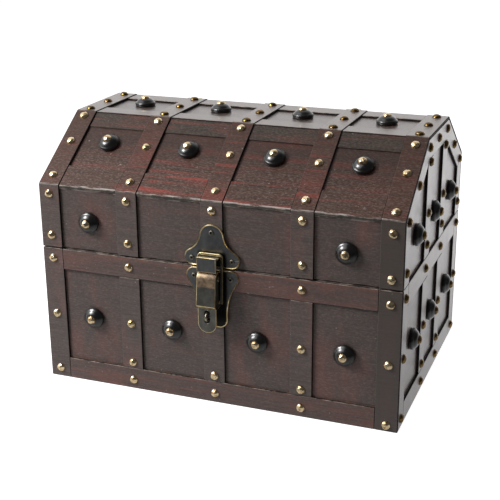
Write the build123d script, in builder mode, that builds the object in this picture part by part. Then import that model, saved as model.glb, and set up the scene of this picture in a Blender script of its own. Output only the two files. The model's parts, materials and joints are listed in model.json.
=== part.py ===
# Treasure chest box: a small wooden chest with a five-sided lid, strapped and nailed,
# closed by a toggle latch. Millimetres, +Z up, +X to the right, the front faces -Y,
# and the origin is the middle of the underside.

import os
from math import atan2, cos, degrees, hypot, radians, sin, sqrt, tan

from build123d import *

os.makedirs("parts", exist_ok=True)

# The chest over its straps: the base up to the seam, then the lid's upright walls and its slopes
chest_width = 281.5
chest_depth = 200.0
seam_height = 108.5
seam_gap = 0.8
lid_wall_height = 50.2
slope_rise = 43.0
top_depth = 71.0

# The boards
board_thickness = 8.0
floor_thickness = 6.0

# The straps and rails
strap_thickness = 2.0
strap_width = 17.0
inner_strap_pitch = 68.0
end_strap_ridge_inset = 9.0
lower_slope_rail = 20.5
upper_slope_rail = 15.5
lid_rail_step = 0.5
upper_slope_rail_step = 1.2

# The brass nails
nail_head_diameter = 7.0
nail_head_height = 2.3
nail_shank_diameter = 1.8
nail_shank_length = 8.0
nail_tip_length = 1.5

# Where the nails stand, as measures from the edges and mitres that they follow
low_rail_nail_share = 0.43
foot_nail_gap = 5.0
lid_low_nail_rise = 9.7
lid_high_nail_gap = 2.9
slope_low_nail_inset = 9.6
slope_middle_nail_share = 0.573
slope_high_nail_inset = 6.0
top_nail_inset = 6.5
end_eave_nail_inset = 6.4
end_slope_nail_share = 0.51
end_ridge_nail_inset = 4.5
lid_middle_nail_drop = 15.5
lid_top_nail_drop = 20.0
right_corner_nail_drop = 2.4

# The turned knobs
knob_diameter = 16.3
knob_drum_height = 3.4
knob_edge_radius = 0.8
knob_shoulder_diameter = 14.8
knob_cone_height = 6.1
knob_tip_diameter = 7.4
knob_bulge = 0.5
knob_nail_length = 12.0
end_knob_rise = 2.2
lid_knob_drop = 27.2
lid_end_knob_drop = 22.0
slope_knob_share = 0.597
top_knob_set_back = 3.5

# The latch's sheet and plates, with heights above and below the seam
latch_sheet = 1.0
latch_edge_break = 0.25
upper_plate_crown_rise = 23.4
upper_plate_crown_radius = 9.5
upper_plate_lobe_offset = 15.3
upper_plate_lobe_rise = 7.1
upper_plate_lobe_radius = 6.2
upper_plate_waist_radius = 16.0
upper_screw_rise = 26.7
upper_side_screw_offset = 15.7
upper_side_screw_rise = 6.4
lower_plate_lobe_offset = 14.4
lower_plate_lobe_drop = 6.8
lower_plate_lobe_radius = 6.1
lower_plate_foot_offset = 5.0
lower_plate_foot_drop = 39.3
lower_plate_foot_radius = 6.8
lower_plate_waist_radius = 46.0
lower_side_screw_drop = 7.3
lower_middle_screw_drop = 18.5
latch_screw_diameter = 3.9
latch_screw_head_height = 0.7
latch_screw_shank_diameter = 2.2
latch_screw_length = 7.5
screw_recess_width = 0.6
screw_recess_length = 2.2
screw_recess_depth = 0.45

# The hook, bent out of the upper plate
hook_sheet = 1.3
hook_half_width = 7.5
hook_reach = 11.7
hook_root_rise = 10.1
hook_lip_height = 1.0
hook_tab_drop = 10.0

# The bail, hung below the lever's pivot
bail_half_width = 10.0
bail_side_width = 1.8
bail_bar_height = 2.0
bail_sheet = 1.6
bail_rest_gap = 0.3
bail_bar_reach = 3.4
bail_corner_radius = 3.2
bail_inner_corner_radius = 0.5
bail_pin_radius = 0.8
bail_pivot_reach = 5.5
bail_pivot_drop = 18.7

# The lever, its pivot below the seam and the rest below its pivot
lever_pivot_reach = 6.9
lever_pivot_drop = 5.5
lever_barrel_radius = 5.5
lever_sheet = 1.2
lever_half_width = 7.5
lever_lip_angle = 60.0
lever_shoulder_reach = 12.9
lever_shoulder_drop = 5.5
lever_heel_reach = 14.6
lever_heel_drop = 19.8
lever_tongue_top_drop = 22.4
lever_flange_reach = 3.4
lever_tongue_reach = 11.7
lever_tongue_half_width = 7.3
lever_tongue_end_drop = 41.2
lever_slot_width = 4.0
lever_slot_length = 10.0
lever_slot_drop = 28.6
latch_running_clearance = 0.1

# The lower plate's ears, the lever's rivet and the staple
ear_thickness = 1.2
ear_clearance = 0.3
ear_radius = 2.5
rivet_radius = 1.3
rivet_head_radius = 1.8
rivet_head_height = 0.45
rivet_head_gap = 0.05
staple_wire_diameter = 1.8
staple_bend_radius = 2.7
staple_straight_reach = 11.4

# The hinges
hinge_width = 18.0
hinge_leaf_height = 16.0
hinge_leaf_thickness = 1.2
hinge_corner_radius = 2.0
hinge_barrel_radius = 2.6
hinge_knuckle_count = 3
hinge_knuckle_gap = 0.3
hinge_pin_radius = 1.3
hinge_pin_clearance = 0.05
hinge_pin_head_radius = 2.0
hinge_pin_head_height = 0.8
hinge_screw_offset = 5.0
hinge_screw_height = 9.5

# Sizes that follow from those above
half_width = chest_width / 2
half_depth = chest_depth / 2
wall_height = seam_height + lid_wall_height
chest_height = wall_height + slope_rise
slope_run = (chest_depth - top_depth) / 2
slope_angle = atan2(slope_rise, slope_run)
slope_length = hypot(slope_rise, slope_run)
core_half_width = half_width - strap_thickness
core_half_depth = half_depth - strap_thickness
core_inset = strap_thickness + board_thickness
inner_half_width = half_width - core_inset
inner_half_depth = half_depth - core_inset
base_top = seam_height - seam_gap / 2
lid_bottom = seam_height + seam_gap / 2
rail_bottom = seam_height - strap_width
hook_root_top = seam_height + hook_root_rise
lever_pivot_height = seam_height - lever_pivot_drop
lever_shoulder_height = lever_pivot_height - lever_shoulder_drop
lever_heel_height = lever_pivot_height - lever_heel_drop
lever_tongue_top = lever_pivot_height - lever_tongue_top_drop
lever_tongue_end_height = lever_pivot_height - lever_tongue_end_drop
lever_slot_height = lever_pivot_height - lever_slot_drop
bail_pivot_height = lever_pivot_height - bail_pivot_drop

# The faces of the chest, each with its x to the right and its y up as seen from outside
front_face = Plane(origin=(0, -half_depth, 0), x_dir=(1, 0, 0), z_dir=(0, -1, 0))
back_face = Plane(origin=(0, half_depth, 0), x_dir=(-1, 0, 0), z_dir=(0, 1, 0))
right_face = Plane(origin=(half_width, 0, 0), x_dir=(0, 1, 0), z_dir=(1, 0, 0))
left_face = Plane(origin=(-half_width, 0, 0), x_dir=(0, -1, 0), z_dir=(-1, 0, 0))
top_face = Plane(origin=(0, 0, chest_height), x_dir=(1, 0, 0), z_dir=(0, 0, 1))
front_slope_face = Plane(
    origin=(0, -half_depth, wall_height),
    x_dir=(1, 0, 0),
    z_dir=(0, -sin(slope_angle), cos(slope_angle)),
)
rear_slope_face = Plane(
    origin=(0, half_depth, wall_height),
    x_dir=(-1, 0, 0),
    z_dir=(0, sin(slope_angle), cos(slope_angle)),
)


def save(piece, name):
    """Name a finished piece and write it."""
    piece.part.label = name
    export_step(piece.part, f"parts/{name}.step")


# Wooden pieces all have one outline across the chest, cut to a length along it.


def eave(inset):
    """The eave corner of the cross-section, moved in by inset from the straps' faces."""
    return half_depth - inset, wall_height - inset * tan((radians(90) - slope_angle) / 2)


def ridge(inset):
    """The ridge corner of the cross-section, moved in by inset."""
    return top_depth / 2 - inset * tan(slope_angle / 2), chest_height - inset


def on_side(side, *points):
    """Outline points on the front (side -1) or the rear (side 1) of the chest."""
    return [(side * y, z) for y, z in points]


def rectangle(y_low, y_high, z_low, z_high):
    """A rectangular outline across the chest."""
    return [(y_low, z_low), (y_high, z_low), (y_high, z_high), (y_low, z_high)]


def wall_layer(side, outer, inner):
    """The lid's upright wall between two insets, mitred at the eave."""
    low = [(half_depth - outer, lid_bottom), (half_depth - inner, lid_bottom)]
    return on_side(side, *low, eave(inner), eave(outer))


def slope_layer(side, outer, inner):
    """The lid's slope between two insets, mitred at the eave and the ridge."""
    return on_side(side, eave(outer), eave(inner), ridge(inner), ridge(outer))


def top_layer(outer, inner):
    """The lid's flat top between two insets, mitred at both ridges."""
    return on_side(1, ridge(outer), ridge(inner)) + on_side(-1, ridge(inner), ridge(outer))


def timber(name, *cuts):
    """One node of wooden pieces, each cut an outline with its start and end along x."""
    with BuildPart() as pieces:
        for outline, start, end in cuts:
            with BuildSketch(Plane.YZ.offset(start)):
                with BuildLine():
                    Polyline(*outline, close=True)
                make_face()
            extrude(amount=end - start)
    save(pieces, name)


# Where things stand along the chest and across its ends

strap_lines = [0, inner_strap_pitch, -inner_strap_pitch]
corner_line = half_width - strap_width / 2
inner_straps = [(x - strap_width / 2, x + strap_width / 2) for x in strap_lines]
corner_straps = [(-half_width, strap_width - half_width), (half_width - strap_width, half_width)]
all_straps = inner_straps + corner_straps
bay_edges = sorted(edge for strap in all_straps for edge in strap)[1:-1]
bays = list(zip(bay_edges[0::2], bay_edges[1::2]))
bay_middles = [(low + high) / 2 for low, high in bays]
end_skins = {"left": (-half_width, -core_half_width), "right": (core_half_width, half_width)}
end_cores = {"left": (-core_half_width, -inner_half_width), "right": (inner_half_width, core_half_width)}

# The base's boards: the front and back run the full length, the ends and floor fit between

for name, side in (("front", -1), ("back", 1)):
    outline = on_side(side, (core_half_depth, 0), (inner_half_depth, 0),
                      (inner_half_depth, base_top), (core_half_depth, base_top))
    timber(f"base_{name}_board", (outline, -core_half_width, core_half_width))
for name, span in end_cores.items():
    timber(f"base_{name}_board", (rectangle(-inner_half_depth, inner_half_depth, 0, base_top), *span))
floor = rectangle(-inner_half_depth, inner_half_depth, 0, floor_thickness)
timber("base_bottom_board", (floor, -inner_half_width, inner_half_width))

# The base's front and back straps and rails: the rails run between the corner straps

for name, side in (("front", -1), ("back", 1)):
    skin = sorted((side * half_depth, side * core_half_depth))
    full = rectangle(*skin, 0, base_top)
    between_rails = rectangle(*skin, strap_width, rail_bottom)
    top_rail = rectangle(*skin, rail_bottom, base_top)
    bottom_rail = rectangle(*skin, 0, strap_width)
    rail_span = (strap_width - half_width, half_width - strap_width)
    timber(f"base_{name}_straps", *[(full, *span) for span in corner_straps],
           *[(between_rails, *span) for span in inner_straps])
    timber(f"base_{name}_rails", (top_rail, *rail_span), (bottom_rail, *rail_span))

# The base's end straps and rails: the corner straps stand behind the front and back ones

corner_strap_inner = half_depth - strap_width
end_strap_line = top_depth / 2 - end_strap_ridge_inset
end_strap_inner = end_strap_line - strap_width / 2
end_strap_outer = end_strap_line + strap_width / 2
end_rail_cuts = []
for name, span in end_skins.items():
    uprights = []
    for side in (-1, 1):
        corner = sorted((side * core_half_depth, side * corner_strap_inner))
        middle = sorted((side * end_strap_inner, side * end_strap_outer))
        uprights.append((rectangle(*corner, 0, base_top), *span))
        uprights.append((rectangle(*middle, strap_width, rail_bottom), *span))
    timber(f"base_{name}_straps", *uprights)
    for low, high in ((0, strap_width), (rail_bottom, base_top)):
        end_rail_cuts.append((rectangle(-corner_strap_inner, corner_strap_inner, low, high), *span))
timber("base_end_rails", *end_rail_cuts)

# The lid's boards, mitred along the eaves and ridges, with the end boards inside them

full_core = (-core_half_width, core_half_width)
for name, side in (("front", -1), ("back", 1)):
    timber(f"lid_{name}_board", (wall_layer(side, strap_thickness, core_inset), *full_core))
for name, side in (("front", -1), ("rear", 1)):
    timber(f"lid_{name}_slope_board", (slope_layer(side, strap_thickness, core_inset), *full_core))
timber("lid_top_board", (top_layer(strap_thickness, core_inset), *full_core))
lid_end = [(-inner_half_depth, lid_bottom), (inner_half_depth, lid_bottom)]
lid_end += on_side(1, eave(core_inset), ridge(core_inset))
lid_end += on_side(-1, ridge(core_inset), eave(core_inset))
for name, span in end_cores.items():
    timber(f"lid_{name}_board", (lid_end, *span))

# The lid's straps, five over each face, mitred where they turn

for name, side in (("front", -1), ("back", 1)):
    layer = wall_layer(side, 0, strap_thickness)
    timber(f"lid_{name}_straps", *[(layer, *span) for span in all_straps])
for name, side in (("front", -1), ("rear", 1)):
    layer = slope_layer(side, 0, strap_thickness)
    timber(f"lid_{name}_slope_straps", *[(layer, *span) for span in all_straps])
timber("lid_top_straps", *[(top_layer(0, strap_thickness), *span) for span in all_straps])


# The lid's rails between the straps, along the eave and the ridge of a slope and both ridges:
# they lie a step below the straps' faces


def up_slope(inset, distance):
    """A point at one inset under the slope, so far up it from the eave."""
    eave_y, eave_z = half_depth, wall_height
    y = eave_y - distance * cos(slope_angle) - inset * sin(slope_angle)
    return y, eave_z + distance * sin(slope_angle) - inset * cos(slope_angle)


# A lower slope rail overhangs the wall, its end cut straight down
rail_foot_y, rail_foot_z = eave(strap_thickness)
rail_reach = eave(lid_rail_step)[0] - rail_foot_y
rail_foot = (eave(lid_rail_step)[0], rail_foot_z - rail_reach * tan(slope_angle))
for name, side in (("front", -1), ("rear", 1)):
    lower = on_side(side, eave(lid_rail_step), rail_foot, eave(strap_thickness),
                    up_slope(strap_thickness, lower_slope_rail), up_slope(lid_rail_step, lower_slope_rail))
    upper_start = slope_length - upper_slope_rail
    upper = on_side(side, up_slope(upper_slope_rail_step, upper_start),
                    up_slope(strap_thickness, upper_start),
                    ridge(strap_thickness), ridge(upper_slope_rail_step))
    timber(f"lid_{name}_slope_rails", *[(rail, *span) for rail in (lower, upper) for span in bays])
top_rail_inner = top_depth / 2 - strap_width
top_rails = []
for side in (-1, 1):
    rail = on_side(side, ridge(lid_rail_step), ridge(strap_thickness),
                   (top_rail_inner, chest_height - strap_thickness),
                   (top_rail_inner, chest_height - lid_rail_step))
    top_rails += [(rail, *span) for span in bays]
timber("lid_top_rails", *top_rails)

# The frame on each end of the lid, mitred where its straps and rails turn


def under_slope(y):
    """The height of the slope rail's lower edge, so far from the middle."""
    edge_y, edge_z = eave(strap_width)
    return edge_z + (edge_y - y) * tan(slope_angle)


ridge_edge_y, ridge_edge_z = ridge(strap_width)
for name, span in end_skins.items():
    uprights = []
    rails = [(top_layer(strap_thickness, strap_width), *span)]
    for side in (-1, 1):
        uprights.append((wall_layer(side, strap_thickness, strap_width), *span))
        middle = on_side(side, (end_strap_inner, lid_bottom), (end_strap_outer, lid_bottom),
                         (end_strap_outer, under_slope(end_strap_outer)),
                         (ridge_edge_y, ridge_edge_z), (end_strap_inner, ridge_edge_z))
        uprights.append((middle, *span))
        rails.append((slope_layer(side, strap_thickness, strap_width), *span))
    timber(f"lid_{name}_straps", *uprights)
    timber(f"lid_{name}_rails", *rails)


# Fasteners are made once, head up on the plane z = 0, and copied onto the faces


def domed_blank(head_radius, head_height, shank_radius, length):
    """A nail or screw: a domed head over the plane and a pointed shank under it."""
    shoulder = (shank_radius, nail_tip_length - length)
    with BuildPart() as blank:
        with BuildSketch(Plane.XZ):
            with BuildLine():
                TangentArc((0, head_height), (head_radius, 0), tangent=(1, 0))
                Polyline((head_radius, 0), (shank_radius, 0), shoulder, (0, -length), (0, head_height))
            make_face()
        revolve(axis=Axis.Z)
    return blank.part


def round_nail(shank_length):
    """A domed brass nail."""
    return domed_blank(nail_head_diameter / 2, nail_head_height, nail_shank_diameter / 2, shank_length)


def round_screw():
    """A small domed screw with a cross recess."""
    with BuildPart() as cut_screw:
        add(domed_blank(latch_screw_diameter / 2, latch_screw_head_height,
                        latch_screw_shank_diameter / 2, latch_screw_length))
        with BuildSketch(Plane.XY.offset(latch_screw_head_height)):
            Rectangle(screw_recess_length, screw_recess_width)
            Rectangle(screw_recess_width, screw_recess_length)
        extrude(amount=-screw_recess_depth, mode=Mode.SUBTRACT)
    return cut_screw.part


def turned_knob():
    """A lathe-turned knob with a hole for its nail, its back on the plane z = 0."""
    bore_radius = nail_shank_diameter / 2
    drum_radius = knob_diameter / 2
    shoulder_radius = knob_shoulder_diameter / 2
    tip_radius = knob_tip_diameter / 2
    middle_height = (knob_drum_height + knob_cone_height) / 2 + knob_bulge
    middle_radius = (shoulder_radius + tip_radius) / 2 + knob_bulge
    with BuildPart() as knob:
        with BuildSketch(Plane.XZ):
            with BuildLine():
                Polyline((bore_radius, 0), (drum_radius - knob_edge_radius, 0),
                         (drum_radius, knob_edge_radius), (drum_radius, knob_drum_height - knob_edge_radius),
                         (shoulder_radius, knob_drum_height))
                ThreePointArc((shoulder_radius, knob_drum_height), (middle_radius, middle_height),
                              (tip_radius, knob_cone_height))
                Polyline((tip_radius, knob_cone_height), (bore_radius, knob_cone_height), (bore_radius, 0))
            make_face()
        revolve(axis=Axis.Z)
    return knob.part


def copies(name, pattern, layout):
    """Copies of one small piece, standing on the faces and at the points of the layout."""
    with BuildPart() as group:
        for face, points in layout:
            with Locations(face):
                with Locations(*points):
                    add(pattern)
    save(group, name)


# The nails: heights up each face as the real chest has them, paired about its middle

strap_nail = round_nail(nail_shank_length)
knob_nail = round_nail(knob_nail_length)
low_rail_nail_height = strap_width * low_rail_nail_share
top_rail_nail_height = seam_height - strap_width / 2
middle_nail_height = seam_height / 2
foot_nail_height = strap_width + foot_nail_gap
lid_low_nail_height = lid_bottom + lid_low_nail_rise
lid_high_nail_height = eave(nail_shank_length)[1] - lid_high_nail_gap
wall_knob_height = seam_height / 2
lid_knob_height = wall_height - lid_knob_drop

# Nails in the front and back of the base, given as points along and up the face


def paired(x, heights):
    """Points at these heights, left and right of the middle."""
    return [(sign * x, height) for sign in (-1, 1) for height in heights]


def corner_nails(heights):
    """Points at these heights in the left corner strap, and a little lower in the right one."""
    left = [(-corner_line, height) for height in heights]
    return left + [(corner_line, height - right_corner_nail_drop) for height in heights]


base_strap_nails = corner_nails((low_rail_nail_height, middle_nail_height, top_rail_nail_height))
base_strap_nails += paired(inner_strap_pitch, (low_rail_nail_height, foot_nail_height, middle_nail_height))
base_strap_nails += [(0, low_rail_nail_height), (0, foot_nail_height)]
hinge_place_nails = paired(inner_strap_pitch, (top_rail_nail_height,))
copies("base_front_nails", strap_nail, [(front_face, base_strap_nails + hinge_place_nails)])
copies("base_back_nails", strap_nail, [(back_face, base_strap_nails)])

end_corner_line = (core_half_depth + corner_strap_inner) / 2
base_end_nails = paired(end_corner_line, (low_rail_nail_height, middle_nail_height, top_rail_nail_height))
base_end_nails += paired(end_strap_line, (low_rail_nail_height, foot_nail_height,
                                          middle_nail_height, top_rail_nail_height))
copies("base_end_nails", strap_nail, [(face, base_end_nails) for face in (left_face, right_face)])

# Nails in the lid, face by face

lid_corner_nails = corner_nails((lid_low_nail_height, lid_high_nail_height))
lid_inner_nails = paired(inner_strap_pitch, (lid_high_nail_height,)) + [(0, lid_high_nail_height)]
lid_hinge_place_nails = paired(inner_strap_pitch, (lid_low_nail_height,))
copies("lid_front_nails", strap_nail,
       [(front_face, lid_corner_nails + lid_inner_nails + lid_hinge_place_nails)])
copies("lid_back_nails", strap_nail, [(back_face, lid_corner_nails + lid_inner_nails)])

inner_nail_lines = (0, inner_strap_pitch, -inner_strap_pitch)
slope_nail_distances = (slope_low_nail_inset, slope_length * slope_middle_nail_share,
                        slope_length - slope_high_nail_inset)
slope_nails = [(x, distance) for x in inner_nail_lines for distance in slope_nail_distances]
slope_nails += corner_nails(slope_nail_distances)
copies("lid_front_slope_nails", strap_nail, [(front_slope_face, slope_nails)])
copies("lid_rear_slope_nails", strap_nail, [(rear_slope_face, slope_nails)])
top_nail_offset = top_depth / 2 - top_nail_inset
top_nails = [(x, y) for x in inner_nail_lines + (corner_line, -corner_line)
             for y in (-top_nail_offset, 0, top_nail_offset)]
copies("lid_top_nails", strap_nail, [(top_face, top_nails)])

end_rail_line = chest_height - strap_width / 2
slope_rail_points = [up_slope(strap_width / 2, distance) for distance in
                     (end_eave_nail_inset, slope_length * end_slope_nail_share)]
lid_end_nails = paired(end_corner_line, (lid_low_nail_height,))
lid_end_nails += [(sign * y, z) for sign in (-1, 1) for y, z in slope_rail_points]
lid_end_nails += [(0, end_rail_line)] + paired(top_depth / 2 - end_ridge_nail_inset, (end_rail_line,))
lid_end_nails += paired(end_strap_line, (lid_low_nail_height, wall_height - lid_middle_nail_drop,
                                         chest_height - lid_top_nail_drop))
copies("lid_end_nails", strap_nail, [(face, lid_end_nails) for face in (left_face, right_face)])

# The knobs stand on the boards, between the straps, and each has its nail at its tip


def sunk(face, depth):
    """The same face, further into the chest."""
    return face.offset(-depth)


knob = turned_knob()
wall_knobs = [(x, wall_knob_height) for x in bay_middles]
end_bay_middle = (end_strap_outer + corner_strap_inner) / 2
end_knob_lines = (0, end_bay_middle, -end_bay_middle)
end_wall_knobs = [(y, wall_knob_height + end_knob_rise) for y in end_knob_lines]
lid_wall_knobs = paired(bay_middles[-1], (lid_knob_height,))
slope_knobs = [(x, slope_length * slope_knob_share) for x in bay_middles]
top_knobs = [(x, top_knob_set_back) for x in bay_middles]
end_lid_knobs = [(y, wall_height - lid_end_knob_drop) for y in end_knob_lines]
base_knob_layout = [(front_face, wall_knobs), (back_face, wall_knobs),
                    (left_face, end_wall_knobs), (right_face, end_wall_knobs)]
lid_knob_layout = [(front_face, lid_wall_knobs), (back_face, lid_wall_knobs),
                   (front_slope_face, slope_knobs), (rear_slope_face, slope_knobs),
                   (top_face, top_knobs), (left_face, end_lid_knobs), (right_face, end_lid_knobs)]
for half, layout in (("base", base_knob_layout), ("lid", lid_knob_layout)):
    backs = [(sunk(face, strap_thickness), points) for face, points in layout]
    tips = [(sunk(face, strap_thickness - knob_cone_height), points) for face, points in layout]
    copies(f"{half}_knobs", knob, backs)
    copies(f"{half}_knob_nails", knob_nail, tips)

# The hinges on the back, over the two inner straps: a leaf on the base, a leaf on the lid, a pin

hinge_axis_y = half_depth + hinge_barrel_radius
knuckle_length = hinge_width / hinge_knuckle_count
hinge_screw_lines = (-hinge_screw_offset, hinge_screw_offset)


def hinge_leaf(name, line, up, own_knuckles, other_knuckles):
    """A leaf lying on the back, up or down from the seam, rolled into its knuckles."""
    start = line - hinge_width / 2
    seat = Plane(origin=(line, half_depth, seam_height), x_dir=(-1, 0, 0), z_dir=(0, 1, 0))
    with BuildPart() as leaf:
        with BuildSketch(seat):
            with Locations((0, up * (hinge_leaf_height + seam_gap / 2) / 2)):
                Rectangle(hinge_width, hinge_leaf_height - seam_gap / 2)
            with Locations(*[(across, up * hinge_screw_height) for across in hinge_screw_lines]):
                Circle(latch_screw_shank_diameter / 2, mode=Mode.SUBTRACT)
        extrude(amount=hinge_leaf_thickness)
        corners = leaf.edges().filter_by(Axis.Y).filter_by(GeomType.LINE).sort_by(Axis.Z)
        fillet(corners[-2:] if up > 0 else corners[:2], radius=hinge_corner_radius)
        for index in own_knuckles:
            with BuildSketch(Plane.YZ.offset(start + index * knuckle_length + hinge_knuckle_gap / 2)):
                with Locations((hinge_axis_y, seam_height)):
                    Circle(hinge_barrel_radius)
            extrude(amount=knuckle_length - hinge_knuckle_gap)
        for index in other_knuckles:
            with BuildSketch(Plane.YZ.offset(start + index * knuckle_length - hinge_knuckle_gap / 2)):
                with Locations((hinge_axis_y, seam_height)):
                    Circle(hinge_barrel_radius + hinge_knuckle_gap)
            extrude(amount=knuckle_length + hinge_knuckle_gap, mode=Mode.SUBTRACT)
        with BuildSketch(Plane.YZ.offset(start)):
            with Locations((hinge_axis_y, seam_height)):
                Circle(hinge_pin_radius + hinge_pin_clearance)
        extrude(amount=hinge_width, mode=Mode.SUBTRACT)
    save(leaf, name)


for side, line in (("left", -inner_strap_pitch), ("right", inner_strap_pitch)):
    hinge_leaf(f"hinge_{side}_base_leaf", line, -1, (0, 2), (1,))
    hinge_leaf(f"hinge_{side}_lid_leaf", line, 1, (1,), (0, 2))

with BuildPart() as hinge_pins:
    for line in (-inner_strap_pitch, inner_strap_pitch):
        barrel_end = hinge_width / 2
        with BuildSketch(Plane.YZ.offset(line - barrel_end)):
            with Locations((hinge_axis_y, seam_height)):
                Circle(hinge_pin_radius)
        extrude(amount=2 * barrel_end)
        for head_start in (line - barrel_end - hinge_pin_head_height, line + barrel_end):
            with BuildSketch(Plane.YZ.offset(head_start)):
                with Locations((hinge_axis_y, seam_height)):
                    Circle(hinge_pin_head_radius)
            extrude(amount=hinge_pin_head_height)
save(hinge_pins, "hinge_pins")

screw = round_screw()
leaf_face = back_face.offset(hinge_leaf_thickness)
for half, up in (("base", -1), ("lid", 1)):
    points = [(line + across, seam_height + up * hinge_screw_height)
              for line in (-inner_strap_pitch, inner_strap_pitch)
              for across in hinge_screw_lines]
    copies(f"hinge_{half}_screws", screw, [(leaf_face, points)])


# The latch. Its places are given as how far they stand out from the straps, and a height.


def out(reach, height):
    """A point of the latch's side view, on the plane across the chest."""
    return -half_depth - reach, height


def waist_centre(upper, upper_radius, lower, lower_radius, waist_radius):
    """The centre of the arc that draws a plate in between two of its round corners."""
    run, drop = lower[0] - upper[0], lower[1] - upper[1]
    apart = hypot(run, drop)
    to_upper, to_lower = upper_radius + waist_radius, lower_radius + waist_radius
    along = (to_upper**2 - to_lower**2 + apart**2) / (2 * apart)
    aside = sqrt(to_upper**2 - along**2)
    return (upper[0] + (along * run - aside * drop) / apart,
            upper[1] + (along * drop + aside * run) / apart)


def direction(start, end):
    """The angle of the line from one point to another, in degrees."""
    return degrees(atan2(end[1] - start[1], end[0] - start[0]))


def latch_plate(upper, upper_radius, lower, lower_radius, waist_radius, screws):
    """A waisted plate on the front, given by the round corners of its right half."""
    waist = waist_centre(upper, upper_radius, lower, lower_radius, waist_radius)
    leave, arrive = direction(upper, waist), direction(lower, waist)
    with BuildPart() as plate:
        with BuildSketch(front_face):
            with BuildLine():
                CenterArc(upper, upper_radius, 90, leave - 90)
                CenterArc(waist, waist_radius, leave + 180, arrive - leave)
                CenterArc(lower, lower_radius, arrive, -90 - arrive)
                mirror(about=Plane.YZ)
                if upper[0] > 0:
                    Line((-upper[0], upper[1] + upper_radius), (upper[0], upper[1] + upper_radius))
                Line((-lower[0], lower[1] - lower_radius), (lower[0], lower[1] - lower_radius))
            make_face()
        extrude(amount=latch_sheet)
        chamfer(plate.faces().sort_by(Axis.Y)[0].edges(), length=latch_edge_break)
        with BuildSketch(front_face):
            with Locations(*screws):
                Circle(latch_screw_shank_diameter / 2)
        extrude(amount=latch_sheet, mode=Mode.SUBTRACT)
    return plate.part


# The upper plate with its hook: a root that stands out and a tab across its end

upper_screws = [(0, seam_height + upper_screw_rise)]
upper_screws += paired(upper_side_screw_offset, (seam_height + upper_side_screw_rise,))
lower_screws = [(0, seam_height - lower_middle_screw_drop)]
lower_screws += paired(lower_plate_lobe_offset, (seam_height - lower_side_screw_drop,))
bail_bar_bottom = hook_root_top + bail_rest_gap
hook_lip_top = bail_bar_bottom + hook_lip_height
hook_tab_bottom = hook_root_top - hook_tab_drop
hook_inner_reach = hook_reach - hook_sheet
with BuildPart() as latch_upper_plate:
    add(latch_plate((0, seam_height + upper_plate_crown_rise), upper_plate_crown_radius,
                    (upper_plate_lobe_offset, seam_height + upper_plate_lobe_rise), upper_plate_lobe_radius,
                    upper_plate_waist_radius, upper_screws))
    with BuildSketch(Plane.YZ.offset(-hook_half_width)):
        with BuildLine():
            Polyline(out(latch_sheet, hook_root_top - hook_sheet), out(latch_sheet, hook_root_top),
                     out(hook_inner_reach, hook_root_top), out(hook_inner_reach, hook_lip_top),
                     out(hook_reach, hook_lip_top), out(hook_reach, hook_tab_bottom),
                     out(hook_inner_reach, hook_tab_bottom),
                     out(hook_inner_reach, hook_root_top - hook_sheet), close=True)
        make_face()
    extrude(amount=2 * hook_half_width)
    tab_corners = latch_upper_plate.faces().sort_by(Axis.Y)[0].edges()
    chamfer(tab_corners, length=latch_edge_break)
save(latch_upper_plate, "latch_upper_plate")

# The lower plate with two ears that carry the lever's rivet

ear_outer = lever_half_width - lever_sheet - ear_clearance
with BuildPart() as latch_lower_plate:
    add(latch_plate((lower_plate_lobe_offset, seam_height - lower_plate_lobe_drop), lower_plate_lobe_radius,
                    (lower_plate_foot_offset, seam_height - lower_plate_foot_drop), lower_plate_foot_radius,
                    lower_plate_waist_radius, lower_screws))
    for start in (-ear_outer, ear_outer - ear_thickness):
        with BuildSketch(Plane.YZ.offset(start)):
            with BuildLine():
                Line(out(latch_sheet, lever_pivot_height - ear_radius),
                     out(lever_pivot_reach, lever_pivot_height - ear_radius))
                ThreePointArc(out(lever_pivot_reach, lever_pivot_height - ear_radius),
                              out(lever_pivot_reach + ear_radius, lever_pivot_height),
                              out(lever_pivot_reach, lever_pivot_height + ear_radius))
                Polyline(out(lever_pivot_reach, lever_pivot_height + ear_radius),
                         out(latch_sheet, lever_pivot_height + ear_radius),
                         out(latch_sheet, lever_pivot_height - ear_radius))
            make_face()
        extrude(amount=ear_thickness)
    with BuildSketch(Plane.YZ.offset(-ear_outer)):
        with Locations(out(lever_pivot_reach, lever_pivot_height)):
            Circle(rivet_radius)
    extrude(amount=2 * ear_outer, mode=Mode.SUBTRACT)
save(latch_lower_plate, "latch_lower_plate")

# The plates' screws

plate_surface = front_face.offset(latch_sheet)
copies("latch_upper_screws", screw, [(plate_surface, upper_screws)])
copies("latch_lower_screws", screw, [(plate_surface, lower_screws)])

# The rivet through the ears, with a head outside each side of the lever

rivet_neck = lever_half_width + rivet_head_gap
with BuildPart() as latch_lever_rivet:
    with BuildSketch(Plane.YZ.offset(-rivet_neck)):
        with Locations(out(lever_pivot_reach, lever_pivot_height)):
            Circle(rivet_radius)
    extrude(amount=2 * rivet_neck)
    for head_start in (-rivet_neck - rivet_head_height, rivet_neck):
        with BuildSketch(Plane.YZ.offset(head_start)):
            with Locations(out(lever_pivot_reach, lever_pivot_height)):
                Circle(rivet_head_radius)
        extrude(amount=rivet_head_height)
save(latch_lever_rivet, "latch_lever_rivet")

# The staple, a bent wire that stands through the lever's slot

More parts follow.
